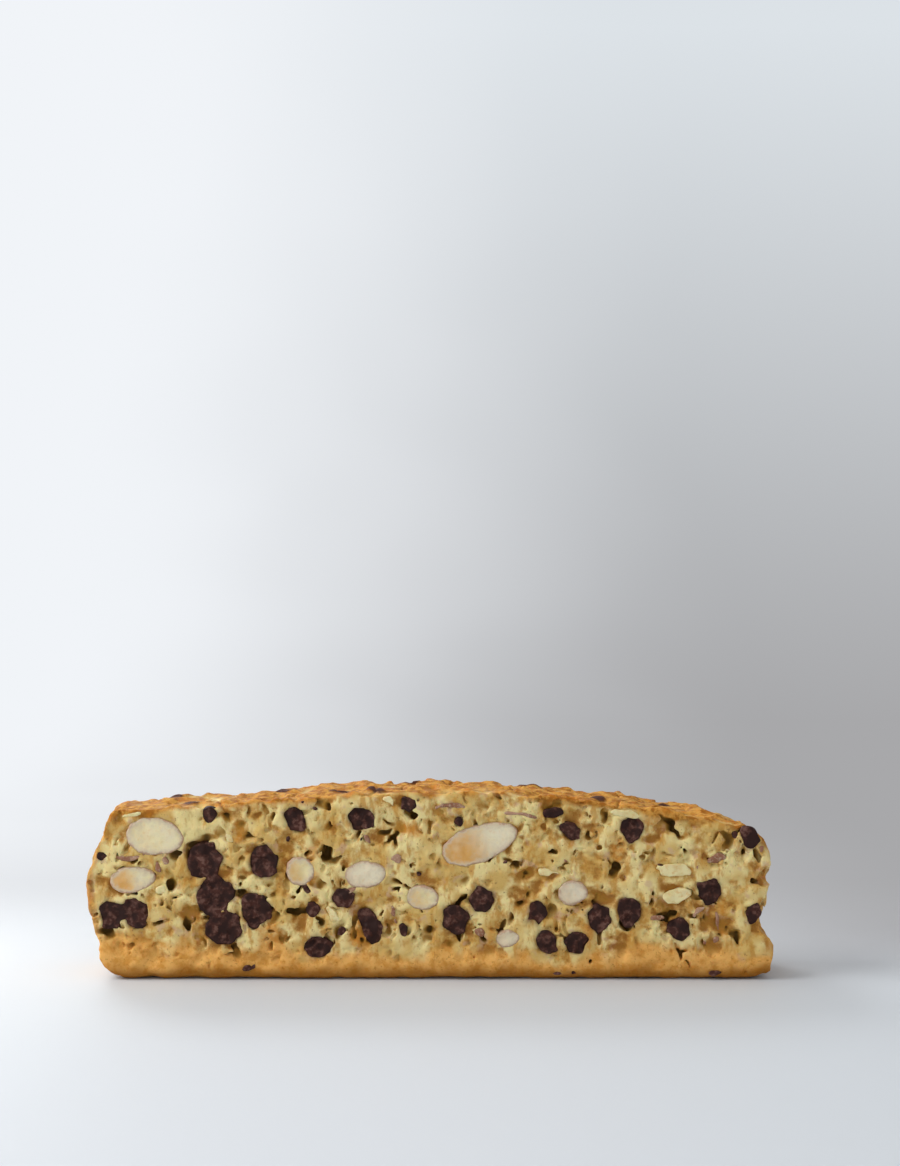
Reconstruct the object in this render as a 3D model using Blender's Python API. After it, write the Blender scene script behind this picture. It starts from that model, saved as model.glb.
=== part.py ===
# One almond and chocolate biscotto: a slice cut across a baked loaf, standing on the loaf's bottom crust.
# X runs along the slice, -Y is the front cut face, +Z is up, and the slice stands on Z = 0. Metres.

import math

import bmesh
import bpy
from mathutils import Matrix, Vector, noise

MM = 0.001

# Driving dimensions
LENGTH = 145 * MM           # end to end, across the loaf
HEIGHT = 40 * MM            # bottom crust to the top of the dome
THICKNESS = 19 * MM         # between the two knife cuts
EDGE_ROUND = 0.8 * MM       # crumbled edge where a cut face meets the crust
CRUST_BUMP = 0.45 * MM      # how far the top crust rises and falls
BUMP_LENGTH = 9 * MM        # from one rise of the crust to the next
POCKET_GAP = 0.35 * MM      # clearance between an inclusion and the crumb round it
FLUSH_DEPTH = 0.15 * MM     # how far behind the cut face an inclusion was sliced

# The slice's outline, as shares of half the length and of the height. It runs from the left foot over the
# bulging left end, the dome, the steeper right end and its crust lip, to the right foot.
OUTLINE = [
    (-0.890, 0.000), (-0.935, 0.080), (-0.972, 0.200), (-0.993, 0.350), (-1.000, 0.510), (-0.980, 0.670),
    (-0.952, 0.790), (-0.935, 0.870), (-0.880, 0.902), (-0.620, 0.925), (-0.345, 0.975), (-0.070, 1.000),
    (0.205, 0.990), (0.480, 0.945), (0.740, 0.880), (0.900, 0.810), (0.975, 0.720), (0.992, 0.610),
    (0.978, 0.450), (0.978, 0.300), (0.997, 0.180), (0.985, 0.045), (0.950, 0.000),
]
STEPS_PER_SPAN = 3          # points of the smooth curve between two outline points
CENTRE_SHARE = 0.12         # how far an inclusion's centre lies behind the cut, as a share of its depth
SEED_STEP = 50              # keeps the back face's chips from repeating the front's
SPHERE_SIDES = 10           # sides round the sphere that an inclusion is shaped from
SPHERE_RINGS = 6            # its bands from pole to pole

# Inclusions that show in a cut face: centre X and Z, width and height of the cut, turn in degrees, and how
# deep they reach. Millimetres. The turn runs anticlockwise for someone who looks at that face.
FRONT_ALMONDS = [
    (-57.8, 30.2, 12.2, 8.4, -6, 4.6),
    (-62.4, 21.2, 9.8, 5.8, 8, 3.8),
    (-27.2, 23.0, 6.0, 6.2, 0, 4.0),
    (-13.4, 22.2, 9.0, 5.8, 4, 4.2),
    (-1.5, 17.4, 7.0, 5.2, -5, 3.6),
    (10.5, 28.8, 17.0, 8.2, 19, 4.8),
    (30.0, 18.4, 6.4, 5.4, 0, 3.4),
    (16.4, 8.8, 5.4, 3.8, 6, 2.8),
]
FRONT_CHIPS = [
    (-67.0, 13.8, 4.4, 6.2, 0, 3.4),
    (-62.0, 14.2, 4.8, 6.6, 0, 3.6),
    (-47.6, 25.2, 6.8, 5.4, 20, 3.4),
    (-45.4, 18.0, 5.6, 6.8, 16, 3.6),
    (-43.2, 11.2, 6.4, 4.8, 0, 3.4),
    (-36.8, 14.6, 5.4, 5.6, 0, 3.0),
    (-34.9, 24.8, 6.0, 6.4, 15, 3.2),
    (-28.5, 34.0, 6.6, 3.0, -64, 3.0),
    (-14.6, 33.8, 5.8, 5.0, -35, 3.4),
    (-18.5, 17.4, 5.6, 3.6, 0, 3.0),
    (-12.2, 10.8, 9.2, 3.8, -62, 3.2),
    (-23.0, 7.2, 6.6, 4.0, 8, 3.0),
    (5.4, 12.6, 5.6, 5.6, 20, 3.4),
    (10.8, 17.2, 5.2, 5.6, -10, 3.4),
    (22.4, 14.0, 4.0, 5.0, 0, 2.8),
    (24.4, 7.9, 4.6, 4.6, 0, 3.2),
    (30.9, 8.2, 5.2, 4.2, -25, 3.0),
    (36.0, 13.2, 5.0, 5.8, 15, 3.2),
    (42.0, 14.4, 5.2, 6.2, -10, 3.6),
    (29.8, 31.2, 5.4, 3.0, -36, 2.8),
    (42.4, 31.8, 3.8, 5.4, 16, 3.0),
    (58.6, 18.6, 5.0, 5.6, 28, 3.2),
    (52.2, 10.6, 4.2, 4.2, 0, 3.0),
]
BACK_ALMONDS = [
    (-46.0, 26.0, 15.0, 8.0, -24, 4.6),
    (-19.5, 12.5, 10.5, 6.2, 14, 4.0),
    (4.0, 30.5, 12.8, 7.4, 5, 4.4),
    (31.0, 25.5, 8.2, 6.8, -30, 4.0),
    (57.0, 14.0, 13.0, 7.6, 68, 4.4),
    (39.5, 9.8, 6.4, 4.6, 0, 3.2),
]
BACK_CHIPS = [
    (-62.0, 15.5, 6.4, 5.4, 20, 3.4),
    (-50.5, 12.0, 5.2, 5.8, -15, 3.4),
    (-33.0, 19.5, 6.2, 4.6, 40, 3.2),
    (-27.5, 31.0, 5.2, 4.8, 0, 3.2),
    (-7.5, 21.5, 5.6, 6.0, 10, 3.4),
    (1.5, 10.5, 6.8, 4.4, -20, 3.2),
    (15.5, 18.5, 5.0, 5.4, 0, 3.4),
    (23.0, 8.8, 4.8, 4.4, 12, 3.0),
    (44.5, 29.5, 5.8, 4.2, 28, 3.2),
]


def clear_scene():
    for obj in list(bpy.data.objects):
        bpy.data.objects.remove(obj)


def make_material(name, colour, roughness):
    material = bpy.data.materials.new(name)
    material.use_nodes = True
    shader = material.node_tree.nodes["Principled BSDF"]
    shader.inputs["Base Color"].default_value = (*colour, 1)
    shader.inputs["Roughness"].default_value = roughness
    shader.inputs["Metallic"].default_value = 0
    return material


def add_object(name, bm, material, smooth_angle=40):
    mesh = bpy.data.meshes.new(name)
    bm.to_mesh(mesh)
    bm.free()
    mesh.shade_smooth()
    mesh.set_sharp_from_angle(angle=math.radians(smooth_angle))
    obj = bpy.data.objects.new(name, mesh)
    bpy.context.scene.collection.objects.link(obj)
    mesh.materials.append(material)
    return obj


def curve_point(before, start, end, after, share):
    """A point on the Catmull-Rom curve from start to end."""
    squared, cubed = share**2, share**3
    return 0.5 * (
        2 * start
        + (end - before) * share
        + (2 * before - 5 * start + 4 * end - after) * squared
        + (3 * start - before - 3 * end + after) * cubed
    )


def smooth_outline():
    """The outline's points from foot to foot. The straight base between the feet closes it."""
    knots = [Vector((x * LENGTH / 2, z * HEIGHT)) for x, z in OUTLINE]
    padded = [2 * knots[0] - knots[1], *knots, 2 * knots[-1] - knots[-2]]
    points = []
    for span in range(len(knots) - 1):
        for step in range(STEPS_PER_SPAN):
            points.append(curve_point(*padded[span:span + 4], step / STEPS_PER_SPAN))
    points.append(knots[-1])
    return points


def crust_height(x, y, z):
    """How far the crust at this place stands above the smooth outline: nothing at the foot, most on the dome."""
    place = Vector((x, y, z)) / BUMP_LENGTH
    rise = min(1, max(0, (z - 0.15 * HEIGHT) / (0.5 * HEIGHT)))
    return CRUST_BUMP * rise * noise.fractal(place, 1, 2, 3)


def outline_at(y, inset):
    """The outline at one distance through the slice, uneven as the crust is, drawn in by inset."""
    flat = smooth_outline()
    centre = Vector((0, HEIGHT / 2))
    ring = []
    for number, point in enumerate(flat):
        before = flat[max(number - 1, 0)]
        after = flat[min(number + 1, len(flat) - 1)]
        along = (after - before).normalized()
        outward = Vector((-along.y, along.x))
        if outward.dot(point - centre) < 0:
            outward = -outward
        moved = point + outward * (crust_height(point.x, y, point.y) - inset)
        ring.append(Vector((moved.x, y, max(moved.y, inset))))
    return ring


def make_slice(material):
    """The biscuit without its inclusions, lofted between outlines through its thickness."""
    half = THICKNESS / 2
    stations = [
        (-half, EDGE_ROUND), (-half + 0.3 * EDGE_ROUND, 0.3 * EDGE_ROUND), (-half + EDGE_ROUND, 0),
        (-half / 3, 0), (half / 3, 0),
        (half - EDGE_ROUND, 0), (half - 0.3 * EDGE_ROUND, 0.3 * EDGE_ROUND), (half, EDGE_ROUND),
    ]
    bm = bmesh.new()
    rings = [[bm.verts.new(p) for p in outline_at(y, inset)] for y, inset in stations]
    for near, far in zip(rings, rings[1:]):
        for number in range(len(near)):
            following = (number + 1) % len(near)
            bm.faces.new((near[number], near[following], far[following], far[number]))
    bm.faces.new(list(reversed(rings[0])))
    bm.faces.new(rings[-1])
    bmesh.ops.recalc_face_normals(bm, faces=bm.faces)
    return add_object("biscuit", bm, material)


def almond_shape(bm):
    """A kernel from the unit sphere, lying along X: blunt at one end, drawn to a point at the other."""
    bmesh.ops.rotate(bm, verts=bm.verts, matrix=Matrix.Rotation(math.pi / 2, 3, "Y"))
    for vert in bm.verts:
        taper = 1 - 0.13 * vert.co.x - 0.08 * vert.co.x**2
        vert.co.y *= taper
        vert.co.z *= taper


def chip_shape(bm, seed):
    """A softened, lumpy chocolate drop from the unit sphere."""
    shift = Vector((3.7, 1.9, 5.3)) * seed
    for vert in bm.verts:
        vert.co *= 0.93 + 0.16 * noise.noise(vert.co * 0.9 + shift)


def inclusion_mesh(kind, half_sizes, seed, growth):
    """One whole almond or chip about its own centre, grown by growth all round."""
    bm = bmesh.new()
    bmesh.ops.create_uvsphere(bm, u_segments=SPHERE_SIDES, v_segments=SPHERE_RINGS, radius=1)
    if kind == "almond":
        almond_shape(bm)
    else:
        chip_shape(bm, seed)
    bmesh.ops.scale(bm, verts=bm.verts, vec=half_sizes + Vector((growth, growth, growth)))
    return bm


def slice_flush(bm, cut_y):
    """Takes off what lies before cut_y, as the knife did, and closes the cut."""
    everything = [*bm.verts, *bm.edges, *bm.faces]
    bmesh.ops.bisect_plane(bm, geom=everything, plane_co=(0, cut_y, 0), plane_no=(0, -1, 0), clear_outer=True)
    rim = [edge for edge in bm.edges if edge.is_boundary]
    bmesh.ops.edgenet_fill(bm, edges=rim)
    bmesh.ops.recalc_face_normals(bm, faces=bm.faces)


def add_inclusions(kind, table, face, material, pockets):
    """Makes every inclusion of one kind in one cut face, and the pocket that each one fills."""
    side = -1 if face == "front" else 1
    about_z = 0 if face == "front" else math.pi
    for number, sizes in enumerate(table, 1):
        x, z, width, height, turn, depth = sizes
        half_sizes = Vector((width / 2, depth, height / 2)) * MM
        sunk = CENTRE_SHARE * half_sizes.y
        seed = number + SEED_STEP * (face == "back")
        name = f"{kind}_{face}_{number:02d}"

        kept = inclusion_mesh(kind, half_sizes, seed, 0)
        slice_flush(kept, FLUSH_DEPTH - sunk)
        piece = add_object(name, kept, material)
        pocket = add_object(f"pocket_{name}", inclusion_mesh(kind, half_sizes, seed, POCKET_GAP), material)
        for obj in (piece, pocket):
            obj.location = (x * MM, side * (THICKNESS / 2 - sunk), z * MM)
            obj.rotation_euler = (0, -math.radians(turn), about_z)

        bpy.context.scene.collection.objects.unlink(pocket)
        pockets.objects.link(pocket)
        pocket.hide_render = True
        pocket.display_type = "WIRE"


def main():
    clear_scene()
    crumb = make_material("crumb", (0.51, 0.30, 0.11), 0.85)
    almond = make_material("almond", (0.60, 0.48, 0.31), 0.6)
    chocolate = make_material("chocolate", (0.035, 0.016, 0.011), 0.5)

    biscuit = make_slice(crumb)
    pockets = bpy.data.collections.new("pockets")
    bpy.context.scene.collection.children.link(pockets)
    add_inclusions("almond", FRONT_ALMONDS, "front", almond, pockets)
    add_inclusions("chip", FRONT_CHIPS, "front", chocolate, pockets)
    add_inclusions("almond", BACK_ALMONDS, "back", almond, pockets)
    add_inclusions("chip", BACK_CHIPS, "back", chocolate, pockets)

    carve = biscuit.modifiers.new("pockets", "BOOLEAN")
    carve.operation = "DIFFERENCE"
    carve.operand_type = "COLLECTION"
    carve.collection = pockets
    carve.solver = "EXACT"


main()
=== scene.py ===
import math

import bpy
import numpy as np
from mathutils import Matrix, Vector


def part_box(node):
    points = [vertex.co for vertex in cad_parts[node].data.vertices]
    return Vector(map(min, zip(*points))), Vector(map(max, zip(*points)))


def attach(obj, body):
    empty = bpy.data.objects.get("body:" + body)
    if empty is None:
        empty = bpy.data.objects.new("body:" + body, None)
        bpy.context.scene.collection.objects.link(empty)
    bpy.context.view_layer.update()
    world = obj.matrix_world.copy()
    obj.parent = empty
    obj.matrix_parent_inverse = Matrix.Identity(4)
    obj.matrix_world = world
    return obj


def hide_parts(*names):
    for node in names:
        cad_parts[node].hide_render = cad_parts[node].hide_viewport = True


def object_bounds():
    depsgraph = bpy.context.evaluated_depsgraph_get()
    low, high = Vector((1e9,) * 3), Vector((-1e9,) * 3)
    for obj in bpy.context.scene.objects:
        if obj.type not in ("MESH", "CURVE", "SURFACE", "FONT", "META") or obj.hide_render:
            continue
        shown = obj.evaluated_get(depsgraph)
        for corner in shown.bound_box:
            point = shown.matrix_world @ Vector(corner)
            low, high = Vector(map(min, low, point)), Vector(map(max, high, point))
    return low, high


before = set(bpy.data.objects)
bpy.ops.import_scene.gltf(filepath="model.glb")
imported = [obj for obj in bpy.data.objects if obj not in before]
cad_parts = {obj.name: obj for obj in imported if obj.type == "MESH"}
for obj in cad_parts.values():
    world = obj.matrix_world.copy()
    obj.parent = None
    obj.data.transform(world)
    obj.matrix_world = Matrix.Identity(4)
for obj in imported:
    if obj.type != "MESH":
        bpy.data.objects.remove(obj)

import openvdb as vdb
from mathutils import Vector

# An almond and chocolate biscotto. The crumb, the nuts and the chips are worked as distance fields on a
# fine grid, in millimetres, and turned into meshes in metres. -Y is the front cut face.
mm = 0.001
cadLow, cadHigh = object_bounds()
lowMm = np.array(cadLow) / mm
highMm = np.array(cadHigh) / mm
halfThick = (highMm[1] - lowMm[1]) / 2
fineness = 1   # a coarser grid while trying things
noiseMargin = 4.0                   # how far the noise reaches past the biscotto
latticeSpread = 0.33                # spread of smoothed lattice heights, which brings the noise's own to 1
farOutside = 10.0                   # what a field reads where it isn't worked out
nothingNear = 2.2                   # and where no nut, chip or bit is near
print("frame loaded, biscotto", np.round(highMm - lowMm, 1), "mm")


# colours are written as they look, and turned to linear light

def colour(red, green, blue):
    linear = []
    for value in (red, green, blue):
        share = value / 255
        linear.append(share / 12.92 if share <= 0.04045 else ((share + 0.055) / 1.055) ** 2.4)
    return (*linear, 1.0)


# the grid and its noise

def makeGrid(low, high, voxel):
    start = np.floor(np.array(low) / voxel).astype(int)
    stop = np.ceil(np.array(high) / voxel).astype(int)
    size = stop - start + 1
    lines = [(np.arange(size[axis]) + start[axis]) * voxel for axis in range(3)]
    return {"start": start, "size": size, "voxel": voxel, "lines": lines}


def gridAxes(grid):
    x, y, z = (line.astype(np.float32) for line in grid["lines"])
    return x[:, None, None], y[None, :, None], z[None, None, :]


def splineWeights(share):
    # cubic B-spline weights of the four lattice points round a place
    return (
        (1 - share) ** 3 / 6,
        (3 * share**3 - 6 * share**2 + 4) / 6,
        (-3 * share**3 + 3 * share**2 + 3 * share + 1) / 6,
        share**3 / 6,
    )


def softNoise(grid, cell, seed):
    # smooth random heights, mean 0 and spread 1, one lattice point every cell millimetres; the lattice is
    # tied to the biscotto, so a finer or smaller grid reads the same heights
    rng = np.random.default_rng(seed)
    anchor = lowMm - noiseMargin
    counts = np.ceil((highMm + noiseMargin - anchor) / cell).astype(int) + 4
    heights = rng.standard_normal(counts).astype(np.float32) / latticeSpread
    for axis in range(3):
        place = (grid["lines"][axis] - anchor[axis]) / cell
        base = place.astype(int)
        heights = np.moveaxis(heights, axis, 0)
        blended = 0
        for step, weight in enumerate(splineWeights(place - base)):
            blended = blended + heights[base + step] * weight.astype(np.float32)[:, None, None]
        heights = np.moveaxis(blended, 0, axis)
    return np.ascontiguousarray(heights)


def smoothMax(a, b, width):
    mixed = np.clip(0.5 + 0.5 * (a - b) / width, 0, 1)
    return b + (a - b) * mixed + width * mixed * (1 - mixed)


def ease(value, start, stop):
    share = np.clip((value - start) / (stop - start), 0, 1)
    return share * share * (3 - 2 * share)


def nodeTriangles(name):
    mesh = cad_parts[name].data
    points = np.empty(len(mesh.vertices) * 3, np.float32)
    mesh.vertices.foreach_get("co", points)
    mesh.calc_loop_triangles()
    corners = np.empty(len(mesh.loop_triangles) * 3, np.int32)
    mesh.loop_triangles.foreach_get("vertices", corners)
    return points.reshape(-1, 3) / np.float32(mm), corners.reshape(-1, 3).astype(np.uint32)


def distanceTo(name, grid, reach):
    # millimetres to a CAD node's surface, below zero inside it, known out to reach
    points, triangles = nodeTriangles(name)
    volume = vdb.FloatGrid.createLevelSetFromPolygons(
        points,
        triangles=triangles,
        transform=vdb.createLinearTransform(voxelSize=grid["voxel"]),
        halfWidth=reach / grid["voxel"],
    )
    values = np.empty(grid["size"], np.float32)
    volume.copyToArray(values, ijk=tuple(int(v) for v in grid["start"]))
    return values


def sample(values, grid, points):
    # the field's value at each point, between the grid's own points
    place = points / grid["voxel"] - grid["start"]
    place = np.clip(place, 0, np.array(grid["size"]) - 1.001)
    base = place.astype(int)
    share = (place - base).astype(np.float32)
    total = 0
    for dx in (0, 1):
        for dy in (0, 1):
            for dz in (0, 1):
                corner = values[base[:, 0] + dx, base[:, 1] + dy, base[:, 2] + dz]
                weight = (
                    (share[:, 0] if dx else 1 - share[:, 0])
                    * (share[:, 1] if dy else 1 - share[:, 1])
                    * (share[:, 2] if dz else 1 - share[:, 2])
                )
                total = total + corner * weight
    return total


# fields to meshes

def fieldSurface(values, grid):
    volume = vdb.FloatGrid(farOutside)
    volume.copyFromArray(np.ascontiguousarray(values, np.float32), ijk=tuple(int(v) for v in grid["start"]))
    points, quads = volume.convertToQuads(0.0)
    return points * grid["voxel"], quads[:, ::-1]


def largestPiece(points, quads):
    # keeps the one connected surface with the most points: no sealed bubbles, no loose grains
    label = np.arange(len(points))
    ends = np.concatenate([quads[:, [0, 1]], quads[:, [1, 2]], quads[:, [2, 3]], quads[:, [3, 0]]])
    while True:
        lowest = np.minimum(label[ends[:, 0]], label[ends[:, 1]])
        updated = label.copy()
        np.minimum.at(updated, ends[:, 0], lowest)
        np.minimum.at(updated, ends[:, 1], lowest)
        updated = updated[updated]
        if (updated == label).all():
            break
        label = updated
    keep = label == np.bincount(label).argmax()
    renumber = np.cumsum(keep) - 1
    return points[keep], renumber[quads[keep[quads[:, 0]]]]


def makeMesh(name, points, quads):
    mesh = bpy.data.meshes.new(name)
    mesh.vertices.add(len(points))
    mesh.vertices.foreach_set("co", (points * mm).astype(np.float32).ravel())
    mesh.loops.add(quads.size)
    mesh.loops.foreach_set("vertex_index", quads.astype(np.int32).ravel())
    mesh.polygons.add(len(quads))
    mesh.polygons.foreach_set("loop_start", np.arange(0, quads.size, quads.shape[1], dtype=np.int32))
    mesh.update(calc_edges=True)
    mesh.validate()
    return mesh


def addPiece(name, mesh, material, nodes=()):
    piece = bpy.data.objects.new(name, mesh)
    bpy.context.scene.collection.objects.link(piece)
    mesh.materials.clear()
    mesh.materials.append(material)
    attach(piece, "root")
    if nodes:
        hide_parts(*nodes)
    return piece


def thinnedMesh(name, points, quads, mostTriangles):
    # collapses the flattest edges first, down to the number wanted
    mesh = makeMesh(name, points, quads)
    mesh.calc_loop_triangles()
    share = mostTriangles / len(mesh.loop_triangles)
    if share < 1:
        helper = bpy.data.objects.new("thinning", mesh)
        bpy.context.scene.collection.objects.link(helper)
        helper.modifiers.new("thin", "DECIMATE").ratio = share
        settled = helper.evaluated_get(bpy.context.evaluated_depsgraph_get())
        mesh = bpy.data.meshes.new_from_object(settled)
        bpy.data.objects.remove(helper)
        mesh.name = name
    mesh.shade_smooth()
    return mesh


def meshPoints(mesh):
    points = np.empty(len(mesh.vertices) * 3, np.float32)
    mesh.vertices.foreach_get("co", points)
    return points.reshape(-1, 3) / mm


def setAttribute(mesh, name, values):
    layer = mesh.attributes.new(name, "FLOAT", "POINT")
    layer.data.foreach_set("value", np.asarray(values, np.float32))


# shader helpers

def newMaterial(name):
    material = bpy.data.materials.new(name)
    material.use_nodes = True
    return material, material.node_tree, material.node_tree.nodes["Principled BSDF"]


def put(tree, kind, values=None, **settings):
    node = tree.nodes.new("ShaderNode" + kind)
    for key, value in settings.items():
        setattr(node, key, value)
    for key, value in (values or {}).items():
        if isinstance(value, bpy.types.NodeSocket):
            tree.links.new(value, node.inputs[key])
        else:
            node.inputs[key].default_value = value
    return node


def blend(tree, factor, first, second):
    node = put(tree, "Mix", data_type="RGBA", clamp_factor=True)
    for index, value in ((0, factor), (6, first), (7, second)):
        if isinstance(value, bpy.types.NodeSocket):
            tree.links.new(value, node.inputs[index])
        else:
            node.inputs[index].default_value = value
    return node.outputs[2]


def spread(tree, value, fromLow, fromHigh, toLow=0.0, toHigh=1.0):
    node = put(tree, "MapRange", {"Value": value, "From Min": fromLow, "From Max": fromHigh,
                                  "To Min": toLow, "To Max": toHigh}, interpolation_type="SMOOTHSTEP")
    return node.outputs["Result"]


def times(tree, first, second):
    return put(tree, "Math", {0: first, 1: second}, operation="MULTIPLY").outputs[0]


def plus(tree, first, second):
    return put(tree, "Math", {0: first, 1: second}, operation="ADD").outputs[0]


def reading(tree, name):
    return put(tree, "Attribute", attribute_name=name).outputs["Fac"]


def grainNoise(tree, where, size, detail=3.0, roughness=0.55):
    # noise whose lumps are about size millimetres across
    values = {"Vector": where, "Scale": 1 / (size * mm), "Detail": detail, "Roughness": roughness}
    return put(tree, "TexNoise", values).outputs["Fac"]


def bump(tree, height, depth, strength, before=None):
    values = {"Height": height, "Distance": depth * mm, "Strength": strength}
    if before is not None:
        values["Normal"] = before
    return put(tree, "Bump", values).outputs["Normal"]


# the baked body

crumbShape = {
    "voxel": 0.3 * fineness,      # grid step
    "triangles": 190000 // fineness**2,
    "margin": 1.2,                # free room round the body in the grid
    "edgeRound": 0.7,             # crumbled edge between crust and cut
    "baseRound": 2.8,             # softer edge where the cut meets the bottom crust
    "crustInset": 0.35,           # the crust lies this far inside, leaving room for its relief
    "cutInset": 0.26,             # and each cut face this far
    "topCrags": 0.46,             # relief of the domed top
    "crackDepth": 0.75,           # cracks in the top crust
    "crackWidth": 0.16,
    "pitDepth": 0.8,              # burst bubbles of the top crust
    "chipLump": 0.3,              # how far chips lift the top crust
    "chipsOnTop": 9,
    "endCrags": 0.40,             # relief of the two ends
    "footBulge": 1.5,             # how far the left end spreads where it met the tray
    "foot": (-67.5, 2.6, 3.4, 2.8),    # that spread's place along, height, half width, half height
    "endTear": 1.1,               # bites torn out of the right end
    "tornEnd": ((58, 67), (8.5, 11), (27, 31)),    # fading in along the slice, from and up to heights
    "baseCrags": 0.10,
    "faceTear": 0.21,             # torn crumb on the cut faces
    "tearValleys": 0.34,          # extra depth of the torn places
    "bubblesPerFace": {           # radius range: how many are tried
        (1.05, 1.75): 70,
        (0.62, 1.05): 430,
        (0.36, 0.62): 1500,
    },
    "denseBase": 6.0,             # the close-grained layer above the bottom crust
    "denseCrust": 2.6,            # and under the top crust
    "bubbleRound": 0.2,           # softness of the bubbles' rims
    "seed": 11,
}

# size in millimetres and seed of each noise that shapes or colours the body
bodyNoises = {
    "broad": (4.2, 1),
    "middling": (1.9, 2),
    "fine": (0.95, 3),
    "crackLines": (3.6, 4),
    "crackPlaces": (2.8, 5),
    "broadTear": (2.6, 6),
    "middlingTear": (1.2, 7),
    "fineTear": (0.65, 8),
    "lostCrumbs": (3.0, 9),
    "endBites": (2.6, 12),
    "burstBubbles": (1.25, 13),
    "burstPlaces": (5.0, 14),
    "wander": (5.0, 40),
    "ripple": (1.6, 41),
}

# larger openings of the front cut: place along the slice, height, half width, half height, turn, depth
frontHollows = [
    (-27.7, 31.9, 2.0, 0.7, 12, 1.5), (-20.4, 25.4, 1.5, 1.3, 0, 2.2), (-29.4, 27.3, 2.4, 0.8, 20, 1.6),
    (-48.0, 29.2, 3.6, 1.5, 28, 2.0), (-53.6, 20.4, 1.7, 1.2, 35, 1.9), (6.5, 20.8, 2.0, 1.0, 0, 2.0),
    (-0.6, 9.9, 1.3, 1.9, 0, 2.6), (38.3, 23.5, 1.3, 2.4, -18, 2.8), (50.4, 32.0, 3.3, 0.9, -38, 2.0),
    (68.2, 21.2, 2.0, 1.1, 0, 2.0), (25.6, 26.7, 1.7, 1.0, 10, 1.7), (17.4, 24.0, 1.3, 0.9, 40, 1.6),
    (54.8, 26.0, 1.6, 1.2, 15, 1.6), (47.3, 25.2, 1.3, 1.0, 0, 1.5), (-23.1, 36.6, 1.9, 1.0, 8, 1.8),
    (-21.9, 32.6, 1.0, 1.4, 0, 1.8), (-3.4, 34.4, 1.2, 0.9, 0, 1.7), (-17.0, 28.8, 1.3, 0.9, 0, 1.6),
    (44.0, 8.6, 0.8, 1.4, 0, 1.6), (-22.7, 12.0, 1.3, 1.1, 0, 1.9), (-38.4, 30.4, 1.6, 1.0, -20, 1.8),
    (-51.0, 26.4, 1.2, 1.3, 0, 1.8), (12.0, 36.2, 1.7, 0.8, -10, 1.4), (35.0, 28.6, 1.2, 1.0, 0, 1.5),
    (62.5, 28.5, 1.3, 1.0, 0, 1.5), (65.5, 25.4, 1.0, 1.5, 0, 1.9), (-7.8, 29.4, 1.4, 1.0, 30, 1.5),
    (1.0, 34.8, 1.1, 0.9, 0, 1.4), (27.6, 22.8, 1.1, 0.8, 0, 1.4), (48.4, 13.2, 1.1, 1.3, 0, 1.6),
    (70.2, 21.6, 1.5, 2.3, 10, 4.0), (70.6, 14.8, 1.3, 1.9, -15, 3.4), (68.6, 26.4, 1.1, 1.6, 20, 2.4),
]


def bodyGrid():
    margin = crumbShape["margin"]
    return makeGrid(lowMm - margin, highMm + margin, crumbShape["voxel"])


def bodyNoise(grid, name):
    return softNoise(grid, *bodyNoises[name])


def outlineField(grid):
    # distance from the slice's outline, in one flat slice half way between the cuts
    whole = distanceTo("biscuit", grid, 7.0)
    middle = int(np.abs(grid["lines"][1]).argmin())
    return whole[:, middle, :][:, None, :]


def crustRise(outline, voxel):
    # how steeply the outside faces up: 1 on the top crust, -1 on the base
    slopeX = np.gradient(outline[:, 0, :], voxel, axis=0)[:, None, :]
    slopeZ = np.gradient(outline[:, 0, :], voxel, axis=1)[:, None, :]
    return slopeZ / (np.sqrt(slopeX**2 + slopeZ**2) + 1e-6)


# places of the front cut that browned more: along, height, half width, half height
toastedSpots = [
    (61.6, 12.0, 0.9, 4.2), (12.9, 8.8, 1.1, 3.4), (39.6, 27.0, 1.3, 3.2), (-25.6, 22.4, 2.6, 4.6),
    (-33.0, 9.0, 3.0, 4.0), (-15.0, 9.6, 2.4, 3.6), (46.5, 33.4, 3.4, 1.2), (4.0, 26.0, 2.0, 2.6),
    (-62.0, 6.5, 4.5, 2.4), (-40.0, 31.0, 1.6, 3.0), (-4.0, 32.0, 2.6, 1.6), (33.5, 10.4, 1.2, 2.6),
]


def spotShare(places, ripple):
    share = np.zeros(len(places), np.float32)
    front = places[:, 1] < 0
    for x, z, halfWidth, halfHeight in toastedSpots:
        span = np.hypot((places[:, 0] - x) / halfWidth, (places[:, 2] - z) / halfHeight) + 0.25 * ripple
        share = np.maximum(share, (1 - ease(span, 0.35, 1.25)) * front)
    return share


def insideAt(outline, grid, xs, zs):
    # how deep inside the slice's outline each place lies
    places = np.stack([xs, np.zeros(len(xs)), zs], axis=1)
    return -sample(np.broadcast_to(outline, grid["size"]), grid, places)


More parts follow.
